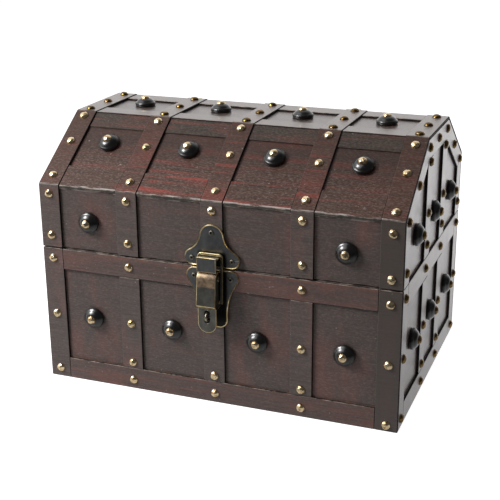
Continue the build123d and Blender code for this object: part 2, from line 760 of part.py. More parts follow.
with BuildPart() as latch_staple:
    with BuildLine(Plane.YZ) as staple_path:
        Line(out(latch_sheet, lever_slot_height + staple_bend_radius),
             out(staple_straight_reach, lever_slot_height + staple_bend_radius))
        ThreePointArc(out(staple_straight_reach, lever_slot_height + staple_bend_radius),
                      out(staple_straight_reach + staple_bend_radius, lever_slot_height),
                      out(staple_straight_reach, lever_slot_height - staple_bend_radius))
        Line(out(staple_straight_reach, lever_slot_height - staple_bend_radius),
             out(latch_sheet, lever_slot_height - staple_bend_radius))
    with BuildSketch(plate_surface):
        with Locations((0, lever_slot_height + staple_bend_radius)):
            Circle(staple_wire_diameter / 2)
    sweep(path=staple_path.line)
save(latch_staple, "latch_staple")


# The lever: a folded front, two sides cut from the same sheet, and a slotted tongue


def round_pivot(radius, angle):
    """A point of the side view, at an angle up from straight out of the lever's pivot."""
    return out(lever_pivot_reach + radius * cos(radians(angle)),
               lever_pivot_height + radius * sin(radians(angle)))


barrel_inner_radius = lever_barrel_radius - lever_sheet
tongue_inner_reach = lever_tongue_reach - lever_sheet
with BuildPart() as latch_lever:
    with BuildSketch(Plane.YZ.offset(-lever_half_width)):
        with BuildLine():
            ThreePointArc(round_pivot(lever_barrel_radius, lever_lip_angle),
                          round_pivot(lever_barrel_radius, lever_lip_angle / 2),
                          round_pivot(lever_barrel_radius, 0))
            Polyline(round_pivot(lever_barrel_radius, 0),
                     out(lever_shoulder_reach, lever_shoulder_height),
                     out(lever_heel_reach, lever_heel_height),
                     out(lever_tongue_reach, lever_tongue_top),
                     out(tongue_inner_reach, lever_tongue_top),
                     out(tongue_inner_reach, lever_tongue_top + lever_sheet / 2),
                     out(lever_heel_reach - lever_sheet, lever_heel_height + lever_sheet / 2),
                     out(lever_shoulder_reach - lever_sheet, lever_shoulder_height),
                     round_pivot(barrel_inner_radius, 0))
            ThreePointArc(round_pivot(barrel_inner_radius, 0),
                          round_pivot(barrel_inner_radius, lever_lip_angle / 2),
                          round_pivot(barrel_inner_radius, lever_lip_angle))
            Line(round_pivot(barrel_inner_radius, lever_lip_angle),
                 round_pivot(lever_barrel_radius, lever_lip_angle))
        make_face()
    extrude(amount=2 * lever_half_width)
    for start in (-lever_half_width, lever_half_width - lever_sheet):
        with BuildSketch(Plane.YZ.offset(start)):
            with BuildLine():
                Polyline(out(lever_flange_reach, lever_pivot_height),
                         round_pivot(lever_barrel_radius, 0),
                         out(lever_shoulder_reach, lever_shoulder_height),
                         out(lever_heel_reach, lever_heel_height),
                         out(lever_tongue_reach, lever_tongue_top),
                         out(lever_flange_reach, lever_tongue_top), close=True)
            make_face()
            with Locations(out(lever_pivot_reach, lever_pivot_height)):
                Circle(lever_barrel_radius)
                Circle(rivet_radius + latch_running_clearance, mode=Mode.SUBTRACT)
            with Locations(out(bail_pivot_reach, bail_pivot_height)):
                Circle(bail_pin_radius + latch_running_clearance, mode=Mode.SUBTRACT)
        extrude(amount=lever_sheet)
    with BuildSketch(front_face.offset(tongue_inner_reach)):
        tongue_round = lever_tongue_end_height + lever_tongue_half_width
        tongue_middle = (lever_tongue_top + tongue_round) / 2
        with Locations((0, tongue_middle)):
            Rectangle(2 * lever_tongue_half_width, lever_tongue_top - tongue_round)
        with Locations((0, tongue_round)):
            Circle(lever_tongue_half_width)
        with Locations((0, lever_slot_height)):
            SlotOverall(lever_slot_length, lever_slot_width, rotation=90, mode=Mode.SUBTRACT)
    extrude(amount=lever_sheet)
save(latch_lever, "latch_lever")

# The bail: a flat frame, open below, with its ends turned in through the lever's sides

bail_bar_centre = bail_bar_bottom + bail_bar_height / 2
bail_rise = bail_bar_centre - bail_pivot_height
bail_lean = atan2(bail_pivot_reach - bail_bar_reach, bail_rise)
bail_top = hypot(bail_pivot_reach - bail_bar_reach, bail_rise) + bail_bar_height / 2
bail_inner_half_width = bail_half_width - bail_side_width
bail_plane = Plane(
    origin=(0, *out(bail_pivot_reach, bail_pivot_height)),
    x_dir=(1, 0, 0),
    z_dir=(0, -cos(bail_lean), sin(bail_lean)),
)
with BuildPart() as latch_bail:
    with BuildSketch(bail_plane):
        with BuildLine():
            FilletPolyline((-bail_half_width, -bail_pin_radius), (-bail_half_width, bail_top),
                           (bail_half_width, bail_top), (bail_half_width, -bail_pin_radius),
                           radius=bail_corner_radius)
            Line((bail_half_width, -bail_pin_radius), (bail_inner_half_width, -bail_pin_radius))
            FilletPolyline((bail_inner_half_width, -bail_pin_radius),
                           (bail_inner_half_width, bail_top - bail_bar_height),
                           (-bail_inner_half_width, bail_top - bail_bar_height),
                           (-bail_inner_half_width, -bail_pin_radius), radius=bail_inner_corner_radius)
            Line((-bail_inner_half_width, -bail_pin_radius), (-bail_half_width, -bail_pin_radius))
        make_face()
    extrude(amount=bail_sheet / 2, both=True)
    pin_length = bail_half_width - lever_half_width + lever_sheet
    for start in (-bail_half_width, bail_half_width - pin_length):
        with BuildSketch(Plane.YZ.offset(start)):
            with Locations(out(bail_pivot_reach, bail_pivot_height)):
                Circle(bail_pin_radius)
        extrude(amount=pin_length)
save(latch_bail, "latch_bail")
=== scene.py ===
import json
from math import atan2, cos, pi, radians, sin
from random import Random

import bmesh
import bpy
from mathutils import Matrix, Vector, noise

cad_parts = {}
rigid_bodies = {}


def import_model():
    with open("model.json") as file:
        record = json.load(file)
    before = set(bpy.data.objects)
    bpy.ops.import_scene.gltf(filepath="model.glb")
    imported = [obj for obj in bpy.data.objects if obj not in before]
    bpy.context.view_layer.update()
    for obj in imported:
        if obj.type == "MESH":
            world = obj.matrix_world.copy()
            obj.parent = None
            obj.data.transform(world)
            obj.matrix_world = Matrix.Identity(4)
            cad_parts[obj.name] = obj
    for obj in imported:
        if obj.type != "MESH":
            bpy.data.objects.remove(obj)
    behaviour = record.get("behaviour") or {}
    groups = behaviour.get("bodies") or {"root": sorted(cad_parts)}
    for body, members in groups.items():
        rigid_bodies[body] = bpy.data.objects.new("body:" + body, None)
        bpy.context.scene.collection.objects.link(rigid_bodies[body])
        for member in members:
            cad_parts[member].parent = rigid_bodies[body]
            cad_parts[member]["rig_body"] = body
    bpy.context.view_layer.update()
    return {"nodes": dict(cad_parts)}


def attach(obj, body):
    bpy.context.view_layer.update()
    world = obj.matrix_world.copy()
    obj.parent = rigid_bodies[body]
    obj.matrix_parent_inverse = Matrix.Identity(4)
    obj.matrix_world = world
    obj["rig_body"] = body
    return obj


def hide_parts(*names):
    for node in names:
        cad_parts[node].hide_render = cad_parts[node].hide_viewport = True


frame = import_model()

# The camera
# The photograph looks at the chest from its right, a little above the lid. Place, turn and lens
# were found from the chest's corners in it.

azimuth, elevation, tilt = radians(20.98), radians(19.56), radians(-0.42)
distance, aside, above = 0.9152, -0.0091, 0.0835
backward = Vector((sin(azimuth) * cos(elevation), -cos(azimuth) * cos(elevation), sin(elevation)))
level = Vector((0, 0, 1)).cross(backward).normalized()
upright = backward.cross(level)
to_right = level * cos(tilt) + upright * sin(tilt)
to_top = upright * cos(tilt) - level * sin(tilt)
lens = bpy.data.cameras.new("camera")
lens.lens, lens.sensor_width = 78.64, 36
camera = bpy.data.objects.new("camera", lens)
standpoint = backward * distance + to_right * aside + to_top * above
camera_turn = Matrix((to_right, to_top, backward)).transposed().to_4x4()
camera.matrix_world = Matrix.Translation(standpoint) @ camera_turn
bpy.context.scene.collection.objects.link(camera)
bpy.context.scene.camera = camera
bpy.context.scene.view_settings.view_transform = "Standard"

# The studio
# A white sweep under a key lamp at the left, with a weak fill from the right and one from behind.
# What shiny pieces mirror is white towards the sweep and dark towards the unlit room in front.


def linear(colour):
    """A written colour, #rrggbb, as the linear values that a socket takes."""
    parts = [int(colour[i:i + 2], 16) / 255 for i in (1, 3, 5)]
    return [p / 12.92 if p <= 0.04045 else ((p + 0.055) / 1.055) ** 2.4 for p in parts] + [1]


def add_node(tree, kind, inputs=(), **settings):
    """A new node with its settings; an input is given a value, a written colour or another node's output."""
    node = tree.nodes.new("ShaderNode" + kind)
    for name, value in settings.items():
        setattr(node, name, value)
    for name, value in dict(inputs).items():
        if isinstance(value, bpy.types.NodeSocket):
            tree.links.new(value, node.inputs[name])
        else:
            node.inputs[name].default_value = linear(value) if isinstance(value, str) else value
    return node


def ray_kinds(tree):
    """1 where a shiny surface or glass looks and 1 where the camera does, each 0 for every other ray."""
    path = add_node(tree, "LightPath").outputs
    in_mirrors = add_node(tree, "Math", {0: path["Is Glossy Ray"], 1: path["Is Transmission Ray"]},
                          operation="MAXIMUM")
    return in_mirrors.outputs[0], path["Is Camera Ray"]


def brightness_along(tree, place, direction, start, end, dark, bright):
    """A brightness that goes from dark to bright along a direction, between two places on it."""
    along = add_node(tree, "VectorMath", {0: place, 1: direction}, operation="DOT_PRODUCT")
    return add_node(tree, "MapRange", {
        "Value": along.outputs["Value"], "From Min": start, "From Max": end,
        "To Min": dark, "To Max": bright}).outputs[0]


def new_material(name):
    """An empty node material and its tree."""
    material = bpy.data.materials.new(name)
    material.use_nodes = True
    material.node_tree.nodes.clear()
    return material, material.node_tree


room = bpy.data.worlds.new("white_room")
room.use_nodes = True
room_tree = room.node_tree
room_tree.nodes.clear()
heading = add_node(room_tree, "TexCoord").outputs["Generated"]
sweep_share = brightness_along(room_tree, heading, (-0.75, 0.66, 0.05), -0.15, 0.6, 0.08, 1.0)
softbox_share = brightness_along(room_tree, heading, (-0.62, -0.45, 0.64), 0.8, 0.9, 0.0, 1.8)
mirror_share = add_node(room_tree, "Math", {0: sweep_share, 1: softbox_share}, operation="MAXIMUM").outputs[0]
room_light, room_mirrored, room_seen = [
    add_node(room_tree, "Background", {"Color": "#ffffff", "Strength": strength}).outputs[0]
    for strength in (0.2, mirror_share, 1.0)]
in_mirrors, in_view = ray_kinds(room_tree)
room_unseen = add_node(room_tree, "MixShader", {0: in_mirrors, 1: room_light, 2: room_mirrored})
room_all = add_node(room_tree, "MixShader", {0: in_view, 1: room_unseen.outputs[0], 2: room_seen})
add_node(room_tree, "OutputWorld", {"Surface": room_all.outputs[0]})
bpy.context.scene.world = room

paper, paper_tree = new_material("white_paper_sweep")
paper_place = add_node(paper_tree, "TexCoord").outputs["Object"]
# The paper glows only in mirrors, brighter towards the back and the left: painted light for the sweep lit
# from behind
paper_share = brightness_along(paper_tree, paper_place, (-0.45, 0.89, 0), -0.42, 0.3, 0.05, 1.3)
in_mirrors, in_view = ray_kinds(paper_tree)
paper_white = 0.86
paper_mirrored = add_node(paper_tree, "Emission", {"Color": "#ffffff", "Strength": paper_share})
paper_face = add_node(paper_tree, "BsdfDiffuse", {"Color": "#dedede"})
paper_seen = add_node(paper_tree, "Math", {0: in_view, 1: paper_white}, operation="MULTIPLY")
paper_glow = add_node(paper_tree, "Emission", {"Color": "#ffffff", "Strength": paper_seen.outputs[0]})
paper_lit = add_node(paper_tree, "AddShader", {0: paper_face.outputs[0], 1: paper_glow.outputs[0]})
paper_all = add_node(paper_tree, "MixShader", {
    0: in_mirrors, 1: paper_lit.outputs[0], 2: paper_mirrored.outputs[0]})
add_node(paper_tree, "OutputMaterial", {"Surface": paper_all.outputs[0]})

floor_reach, floor_drop = 6, 0.0003
floor_form = bmesh.new()
bmesh.ops.create_grid(floor_form, x_segments=1, y_segments=1, size=floor_reach)
bmesh.ops.translate(floor_form, verts=floor_form.verts, vec=(0, 0, -floor_drop))
floor_mesh = bpy.data.meshes.new("studio_floor")
floor_form.to_mesh(floor_mesh)
floor_form.free()
floor_mesh.materials.append(paper)
studio_floor = bpy.data.objects.new("studio_floor", floor_mesh)
bpy.context.scene.collection.objects.link(studio_floor)

chest_middle = Vector((0, 0, 0.1))
for lamp_name, place, size, power, shows_in_mirrors in (
        ("left_lamp", (-0.60, -0.52, 0.66), 0.35, 8.5, True),
        ("right_lamp", (1.4, 0.2, 0.6), 0.9, 1.5, False),
        ("rear_lamp", (0.5, 1.3, 1.2), 1.0, 6, False)):
    lamp = bpy.data.lights.new(lamp_name, "AREA")
    lamp.shape, lamp.size, lamp.energy = "SQUARE", size, power
    stand = bpy.data.objects.new(lamp_name, lamp)
    stand.visible_glossy = shows_in_mirrors
    lamp_turn = (Vector(place) - chest_middle).to_track_quat("Z", "Y").to_matrix().to_4x4()
    stand.matrix_world = Matrix.Translation(place) @ lamp_turn
    bpy.context.scene.collection.objects.link(stand)

# The boards
# Softwood boards under an espresso stain and a thin satin lacquer: fine grain along the chest, with
# redder places where the stain is thin. Their corners are eased by sanding, and rubbed pale in places.


def spotted(tree, per_metre, detail, low, high, offset=0.0, axis=0, along=None):
    """Noise on the piece's own coordinates, spread between two levels: so many spots a metre each way, or
    fewer along one axis, where they are long."""
    scale = [per_metre] * 3
    scale[axis] = per_metre if along is None else along
    place = add_node(tree, "TexCoord").outputs["Object"]
    moved = add_node(tree, "Mapping", {"Vector": place, "Location": (offset, offset, offset), "Scale": scale})
    spots = add_node(tree, "TexNoise", {
        "Vector": moved.outputs[0], "Scale": 1.0, "Detail": detail, "Roughness": 0.6}).outputs[0]
    return add_node(tree, "MapRange", {"Value": spots, "From Min": low, "From Max": high}).outputs[0]


def ramped(tree, axis, start, end, either_side_of=None, lowest=0.0):
    """From a lowest share to 1 along an axis of the piece's own coordinates, between two places on it, or
    between two distances either side of a place."""
    here = add_node(tree, "SeparateXYZ", {0: add_node(tree, "TexCoord").outputs["Object"]}).outputs[axis]
    if either_side_of is not None:
        away = add_node(tree, "Math", {0: here, 1: either_side_of}, operation="SUBTRACT")
        here = add_node(tree, "Math", {0: away.outputs[0]}, operation="ABSOLUTE").outputs[0]
    return add_node(tree, "MapRange", {
        "Value": here, "From Min": start, "From Max": end, "To Min": lowest}).outputs[0]


def laid_over(tree, under, over, pattern, share=1.0):
    """One colour laid over another as thickly as a pattern and a share of it say."""
    amount = add_node(tree, "Math", {0: pattern, 1: share}, operation="MULTIPLY").outputs[0]
    return add_node(tree, "Mix", {0: amount, 6: under, 7: over}, data_type="RGBA").outputs[2]


# Each pale line, partly wear and partly a painted highlight along an edge, has its height, its reach above
# and below, its strength and its colour
eave_height, ridge_height, seam_height = 0.1587, 0.2017, 0.1081
eave_line = (eave_height, 0.0007, 0.75, "#cdc4be")
ridge_line = (ridge_height, 0.0006, 0.6, "#b5a79f")
seam_line = (seam_height, 0.0006, 0.45, "#b5a79f")
under_eave_line = (0.1556, 0.0006, 0.6, "#b5a79f")
low_rail_line = (0.0168, 0.0006, 0.6, "#9c7058")


def stained_wood(name, axis, ground, deep, red, red_share, scratch_and_glint_share, offset, gloss=0.3, coat=0.35,
                 tint="#ffffff", lines=(eave_line, ridge_line, seam_line), darker=None, patch_axis=None,
                 patchy=1.0, streaky=1.0, red_reach=9.0, blotches=18.0, mottled=0.0):
    """Stained and lacquered softwood with its grain along an axis, pale along lines at given heights, partly
    wear and partly a painted highlight, and, if darker is given, darkened by a share from one place to
    another along an axis."""
    material, tree = new_material(name)
    # Grain 1.1 mm wide and 38 mm long, red patches 29 by 77 mm and red streaks 5 by 91 mm. Pores and
    # scratches, 0.8 by 2 mm, are coarser than real ones, so that the render shows them. The pale scratches
    # also stand for painted glints of the lacquer on the grain
    patch_axis = axis if patch_axis is None else patch_axis
    grain = spotted(tree, 900.0, 4.0, 0.3, 0.7, offset, axis, 26.0)
    patches = spotted(tree, 34.0, 3.0, 0.5, 0.66, offset + 3.0, patch_axis, 13.0)
    streaks = spotted(tree, 210.0, 3.0, 0.53, 0.66, offset + 7.0, axis, 11.0)
    pores = spotted(tree, 1300.0, 2.0, 0.55, 0.75, offset + 19.0, axis, 480.0)
    scratches_and_glints = spotted(tree, 1300.0, 3.0, 0.47, 0.78, offset + 11.0, axis, 480.0)
    clouds = spotted(tree, blotches, 3.0, 0.35, 0.7, offset + 5.0)
    specks = spotted(tree, 520.0, 0.0, 0.845, 0.87, offset + 17.0)
    breaks = spotted(tree, 400.0, 3.0, 0.44, 0.56, offset + 13.0, 0, 90.0)
    patched = add_node(tree, "Math", {0: patches, 1: patchy}, operation="MULTIPLY").outputs[0]
    streaked = add_node(tree, "Math", {0: streaks, 1: streaky}, operation="MULTIPLY").outputs[0]
    either = add_node(tree, "Math", {0: patched, 1: streaked}, operation="MAXIMUM").outputs[0]
    near_middle = ramped(tree, "X", red_reach, red_reach * 0.5, either_side_of=0.0, lowest=0.3)
    reddened = add_node(tree, "Math", {0: either, 1: near_middle}, operation="MULTIPLY").outputs[0]
    layers = [(deep, clouds, 0.35), (red, reddened, red_share), ("#1d1411", pores, scratch_and_glint_share * 0.8),
              ("#9d8d85", scratches_and_glints, scratch_and_glint_share)]
    if darker:
        dark_axis, start, end, dark_share = darker
        layers.append((deep, ramped(tree, dark_axis, start, end), dark_share))
    layers.append(("#b9b0aa", specks, 0.25 + 0.35 * scratch_and_glint_share))
    for height, reach, worn_and_lit_share, worn_and_lit_colour in lines:
        # Pale lines along edges: partly wear, partly a painted highlight where the edge catches the light
        at_height = ramped(tree, "Z", reach, reach * 0.4, either_side_of=height)
        worn = add_node(tree, "Math", {0: at_height, 1: breaks}, operation="MULTIPLY").outputs[0]
        layers.append((worn_and_lit_colour, worn, worn_and_lit_share))
    colour = laid_over(tree, deep, ground, grain)
    for over, pattern, share in layers:
        colour = laid_over(tree, colour, over, pattern, share)
    uneven = add_node(tree, "Math", {0: clouds, 1: mottled, 2: grain}, operation="MULTIPLY_ADD").outputs[0]
    roughness = add_node(tree, "MapRange", {
        "Value": uneven, "From Max": 1.0 + mottled, "To Min": 0.46, "To Max": 0.36}).outputs[0]
    bump = add_node(tree, "Bump", {"Height": grain, "Strength": 0.5, "Distance": 0.0002})
    face = add_node(tree, "BsdfPrincipled", {
        "Base Color": colour, "Roughness": roughness, "Specular IOR Level": gloss, "Specular Tint": tint,
        "Normal": bump.outputs[0], "Coat Weight": coat, "Coat Roughness": 0.3})
    add_node(tree, "OutputMaterial", {"Surface": face.outputs[0]})
    return material


def plain_finish(name, colour, other_colour, per_metre, share, roughness):
    """A dull finish of two close colours in small spots."""
    material, tree = new_material(name)
    mix = laid_over(tree, colour, other_colour, spotted(tree, per_metre, 3.0, 0.4, 0.65), share)
    face = add_node(tree, "BsdfPrincipled", {
        "Base Color": mix, "Roughness": roughness, "Specular IOR Level": 0.3})
    add_node(tree, "OutputMaterial", {"Surface": face.outputs[0]})
    return material


# The slopes are the dullest, the ends the glossiest and most mottled
slope_lacquer = {"gloss": 0.25, "coat": 0.15}
top_lacquer = {"coat": 0.9, "tint": "#ffecdf", "lines": ()}
end_lacquer = {"gloss": 1.0, "coat": 0.9, "tint": "#ffe8eb", "lines": (), "blotches": 90.0, "mottled": 2.0}
front_board_wood = stained_wood(
    "stained_pine_front_boards", axis=0, ground="#544a46", deep="#483f3c", red="#6e4842", red_share=0.6,
    scratch_and_glint_share=0.25, offset=0.0, patch_axis=2, streaky=0.35,
    lines=(eave_line, seam_line, under_eave_line, low_rail_line))
slope_board_wood = stained_wood(
    "stained_pine_slope_boards", axis=0, ground="#593c31", deep="#301e17", red="#88352c", red_share=0.6,
    scratch_and_glint_share=0.7, offset=4.1, patchy=0.4, red_reach=0.13, darker=("Z", 0.166, 0.186, 0.75),
    **slope_lacquer)
top_wood = stained_wood(
    "stained_pine_top", axis=0, ground="#4b403d", deep="#352b29", red="#5c403b", red_share=0.4,
    scratch_and_glint_share=0.3, offset=1.7, gloss=0.5, **top_lacquer)
end_board_wood = stained_wood(
    "stained_pine_end_boards", axis=1, ground="#524543", deep="#403533", red="#5e4642", red_share=0.25,
    scratch_and_glint_share=0.1, offset=3.9, **end_lacquer)
# Rubbed pale edges: wear on the boards' corners, and a painted highlight on the strips' edges that face up
worn_and_lit_edge = plain_finish("rubbed_and_lit_edge", "#3d3330", "#a8988d", 150.0, share=0.9, roughness=0.5)
inside_wood = plain_finish("bare_stained_inside", "#3a2a24", "#4c382f", 40.0, share=0.8, roughness=0.7)

weld_reach, flat_angle, sharp_angle = 0.000002, radians(0.5), radians(30)


def welded_copy(node_name):
    """A CAD node's shape with its loose triangles joined up."""
    form = bmesh.new()
    form.from_mesh(frame["nodes"][node_name].data)
    bmesh.ops.remove_doubles(form, verts=form.verts, dist=weld_reach)
    return form


def whole_faced_copy(node_name):
    """A CAD node's shape with its triangles joined up to whole flat faces."""
    form = welded_copy(node_name)
    bmesh.ops.dissolve_limit(form, angle_limit=flat_angle, verts=form.verts, edges=form.edges)
    return form


def rounded_over(form, width, clamp=True, chosen=None):
    """Rounds the sharp edges of a shape, or those with chosen ends, and gives back the faces along them."""
    sharp = [edge for edge in form.edges if edge.is_manifold and edge.calc_face_angle() > sharp_angle
             and (chosen is None or all(chosen(vertex.co) for vertex in edge.verts))]
    made = bmesh.ops.bevel(form, geom=sharp, affect="EDGES", offset=width, segments=2,
                           profile=0.5, material=-1, clamp_overlap=clamp)
    return made["faces"]


def finished(name, form, materials, slot, *node_names):
    """Makes a finished piece that stands for CAD nodes and moves with their body."""
    mesh = bpy.data.meshes.new(name)
    form.to_mesh(mesh)
    form.free()
    for material in materials:
        mesh.materials.append(material)
    piece = bpy.data.objects.new(name, mesh)
    bpy.context.scene.collection.objects.link(piece)
    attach(piece, frame["nodes"][node_names[0]]["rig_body"])
    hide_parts(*node_names)


slope_rise, slope_run = 0.0430, 0.0645
slope_turn = atan2(slope_rise, slope_run)
facings = {
    "front": Vector((0, -1, 0)), "back": Vector((0, 1, 0)),
    "left": Vector((-1, 0, 0)), "right": Vector((1, 0, 0)),
    "bottom": Vector((0, 0, -1)), "top": Vector((0, 0, 1)),
    "front_slope": Vector((0, -sin(slope_turn), cos(slope_turn))),
    "rear_slope": Vector((0, sin(slope_turn), cos(slope_turn)))}
board_woods = {
    "front": front_board_wood, "back": front_board_wood, "left": end_board_wood, "right": end_board_wood,
    "bottom": end_board_wood, "top": top_wood,
    "front_slope": slope_board_wood, "rear_slope": slope_board_wood}
outer_face, inner_face, rubbed_corner = range(3)
board_easing, looking_inwards = 0.0005, -0.9
for half, sides in (("base", ("front", "back", "left", "right", "bottom")),
                    ("lid", ("front", "front_slope", "top", "rear_slope", "back", "left", "right"))):
    for side in sides:
        node_name = f"{half}_{side}_board"
        board = whole_faced_copy(node_name)
        outward = facings[side]
        for face in board.faces:
            face.material_index = inner_face if face.normal.dot(outward) < looking_inwards else outer_face
        outside = max(vertex.co.dot(outward) for vertex in board.verts)
        for face in rounded_over(board, board_easing):
            near_outside = face.calc_center_median().dot(outward) > outside - board_easing
            face.material_index = rubbed_corner if near_outside else inner_face
        finished("eased_" + node_name, board, [board_woods[side], inside_wood, worn_and_lit_edge],
                 "stained_board", node_name)

# The straps and rails
# Thin strips of the same wood, nailed over the boards. Their cut sides are nearly black, for their dark stain
# and for painted shade, and their rounded edges are painted by where they face: a painted highlight in the
# rubbed colour where they face up, painted shade where they face right or down.

front_strap_wood = stained_wood(
    "stained_pine_front_straps", axis=0, ground="#5d524f", deep="#48403c", red="#764f49", red_share=0.55,
    scratch_and_glint_share=0.2, offset=2.3, patch_axis=2, streaky=0.35, darker=("X", 0.112, 0.124, 0.8))
front_rail_wood = stained_wood(
    "stained_pine_front_rails", axis=0, ground="#5d4c48", deep="#4c3e3a", red="#7c4c44", red_share=0.65,
    scratch_and_glint_share=0.2, offset=12.6, streaky=0.6,
    lines=(eave_line, seam_line, (0.1070, 0.0020, 0.45, "#7d5143")))
slope_strap_wood = stained_wood(
    "stained_pine_slope_straps", axis=0, ground="#58392e", deep="#352119", red="#8e382e", red_share=0.6,
    scratch_and_glint_share=0.45, offset=6.2, patchy=0.6, red_reach=0.12, darker=("Z", 0.166, 0.196, 0.55),
    **slope_lacquer)
slope_rail_wood = stained_wood(
    "stained_pine_slope_rails", axis=0, ground="#54392f", deep="#33221a", red="#96382f", red_share=0.8,
    scratch_and_glint_share=0.5, offset=8.7, patchy=0.45, red_reach=0.12, **slope_lacquer)
ridge_rail_wood = stained_wood(
    "stained_pine_ridge_rails", axis=0, ground="#3f342b", deep="#261e18", red="#6a332b", red_share=0.6,
    scratch_and_glint_share=0.3, offset=9.4, **slope_lacquer)
top_strap_wood = stained_wood(
    "stained_pine_top_straps", axis=0, ground="#5b4e49", deep="#433834", red="#664a44", red_share=0.4,
    scratch_and_glint_share=0.4, offset=7.4, gloss=0.6, **top_lacquer)
end_strap_wood = stained_wood(
    "stained_pine_end_straps", axis=1, ground="#564845", deep="#433835", red="#5e4642", red_share=0.2,
    scratch_and_glint_share=0.1, offset=5.5, **end_lacquer)
# Nearly black: the dark stain of the strips' cut sides and painted shade beside them
dark_edge = plain_finish("stained_and_shaded_cut_edge", "#0b0706", "#1d1210", 60.0, share=0.5, roughness=0.7)
rail_foot = plain_finish("stained_rail_foot", "#34352f", "#47453d", 150.0, share=0.9, roughness=0.55)
# A painted shade: the soft dark band under the upper slope rail
ridge_rail_shade = plain_finish("painted_shade_rail_edge", "#2a211d", "#3b2f29", 90.0, share=0.8, roughness=0.7)

strap_woods = {
    "front": front_strap_wood, "back": front_strap_wood, "left": end_strap_wood, "right": end_strap_wood,
    "top": top_strap_wood, "front_slope": slope_strap_wood, "rear_slope": slope_strap_wood}
rail_woods = dict(strap_woods, front=front_rail_wood, back=front_rail_wood, front_slope=slope_rail_wood,
                  rear_slope=slope_rail_wood)
roof_sides = ("front_slope", "top", "rear_slope")
strips = [(f"{half}_{side}_straps", side, strap_woods) for half in ("base", "lid")
          for side in ("front", "back", "left", "right")]
strips += [(f"lid_{side}_straps", side, strap_woods) for side in roof_sides]
strips += [(f"lid_{side}_rails", side, rail_woods) for side in (*roof_sides, "left", "right")]
strips += [("base_front_rails", "front", rail_woods), ("base_back_rails", "back", rail_woods),
           ("base_end_rails", "right", rail_woods)]

own_wood, shaded_cut_side, rubbed_and_lit_edge, upper_rail, rail_end, shaded_soft_edge = range(6)
strap_easing, seam_reach = 0.0004, 0.0015
upper_rail_height, ridge_edge_height, eave_edge_height = 0.186, ridge_height - 0.003, eave_height + 0.001
# How much of a face's normal lies along an axis: above the first the face leans that way, under the
# second it is a cut side, and above the third it faces that way
tilted_to, edge_on, straight_on = 0.25, 0.6, 0.95


def edge_light_and_shade(face):
    """A rounded edge's finish by where it faces: painted shade where it faces right or down, a painted
    highlight in the rubbed colour where it faces up, else its wood.
    """
    if face.normal.x > tilted_to or face.normal.z < -tilted_to:
        return shaded_cut_side
    return rubbed_and_lit_edge if face.normal.z > tilted_to and abs(face.normal.x) < tilted_to else own_wood


for node_name, side, woods in strips:
    strip = whole_faced_copy(node_name)
    is_slope_rail = "slope_rails" in node_name
    finishes = [woods[side], dark_edge, worn_and_lit_edge]
    if is_slope_rail:
        finishes += [ridge_rail_wood, rail_foot, ridge_rail_shade]
    for face in strip.faces:
        if is_slope_rail and face.calc_center_median().z > upper_rail_height:
            face.material_index = upper_rail
        elif is_slope_rail and abs(face.normal.y) > straight_on:
            face.material_index = rail_end
        else:
            # Cut sides nearly black: dark stain and painted shade
            face.material_index = shaded_cut_side if abs(face.normal.dot(facings[side])) < edge_on else own_wood
    for face in rounded_over(strip, strap_easing):
        face.material_index = edge_light_and_shade(face)
        height = face.calc_center_median().z
        if side in ("left", "right") and abs(height - seam_height) < seam_reach:
            face.material_index = own_wood
        # On the slope rails the upper rail's lower edge takes a painted shade, and the eave edge the rubbed
        # colour, partly wear and partly a painted highlight
        if is_slope_rail and abs(face.normal.x) < tilted_to:
            if height > upper_rail_height:
                face.material_index = upper_rail if height > ridge_edge_height else shaded_soft_edge
            else:
                face.material_index = rubbed_and_lit_edge if height < eave_edge_height else own_wood
    finished("eased_" + node_name, strip, finishes, "stained_strap", node_name)

# The brass nails
# Round-headed upholstery nails, stamped from thin brass and hammered home, so that each dome is
# a little dented and turned its own way. Those of the top are tarnished, and those of the ends take the
# same dark brass as a painted reflection of the dark room they face.


def stands(node_name, shank_length):
    """Where each fastener of a CAD node stands: the point under its head and its direction out."""
    form = welded_copy(node_name)
    waiting, found = set(form.verts), []
    while waiting:
        reached = [waiting.pop()]
        for vertex in reached:
            near = [edge.other_vert(vertex) for edge in vertex.link_edges]
            fresh = [v for v in near if v in waiting]
            waiting.difference_update(fresh)
            reached.extend(fresh)
        middle = sum((v.co for v in reached), Vector()) / len(reached)
        tip = max((v.co for v in reached), key=lambda co: (co - middle).length)
        outward = max(facings.values(), key=lambda facing: facing.dot(middle - tip))
        found.append((tip + outward * shank_length, outward))
    form.free()
    return sorted(found, key=lambda place: tuple(round(c, 5) for c in place[0]))


def spun(form, profile, steps):
    """Turns a profile of (radius, height) points about the z axis into a closed shape."""
    line = [form.verts.new((radius, 0, height)) for radius, height in profile]
    edges = [form.edges.new(pair) for pair in zip(line, line[1:])]
    bmesh.ops.spin(form, geom=line + edges, cent=(0, 0, 0), axis=(0, 0, 1), angle=2 * pi, steps=steps,
                   use_merge=True)
    bmesh.ops.remove_doubles(form, verts=form.verts, dist=weld_reach)
    bmesh.ops.recalc_face_normals(form, faces=form.faces)


def set_in_place(form, pattern, point, outward, turn=0.0):
    """Adds a copy of a small shape to another, standing on a point."""
    mesh = bpy.data.meshes.new("pattern")
    pattern.to_mesh(mesh)
    upright_turn = Vector((0, 0, 1)).rotation_difference(outward).to_matrix().to_4x4()
    mesh.transform(Matrix.Translation(point) @ upright_turn @ Matrix.Rotation(turn, 4, "Z"))
    form.from_mesh(mesh)
    bpy.data.meshes.remove(mesh)


def shaded_smooth(form):
    """Smooth faces, for a turned or hammered shape."""
    for face in form.faces:
        face.smooth = True


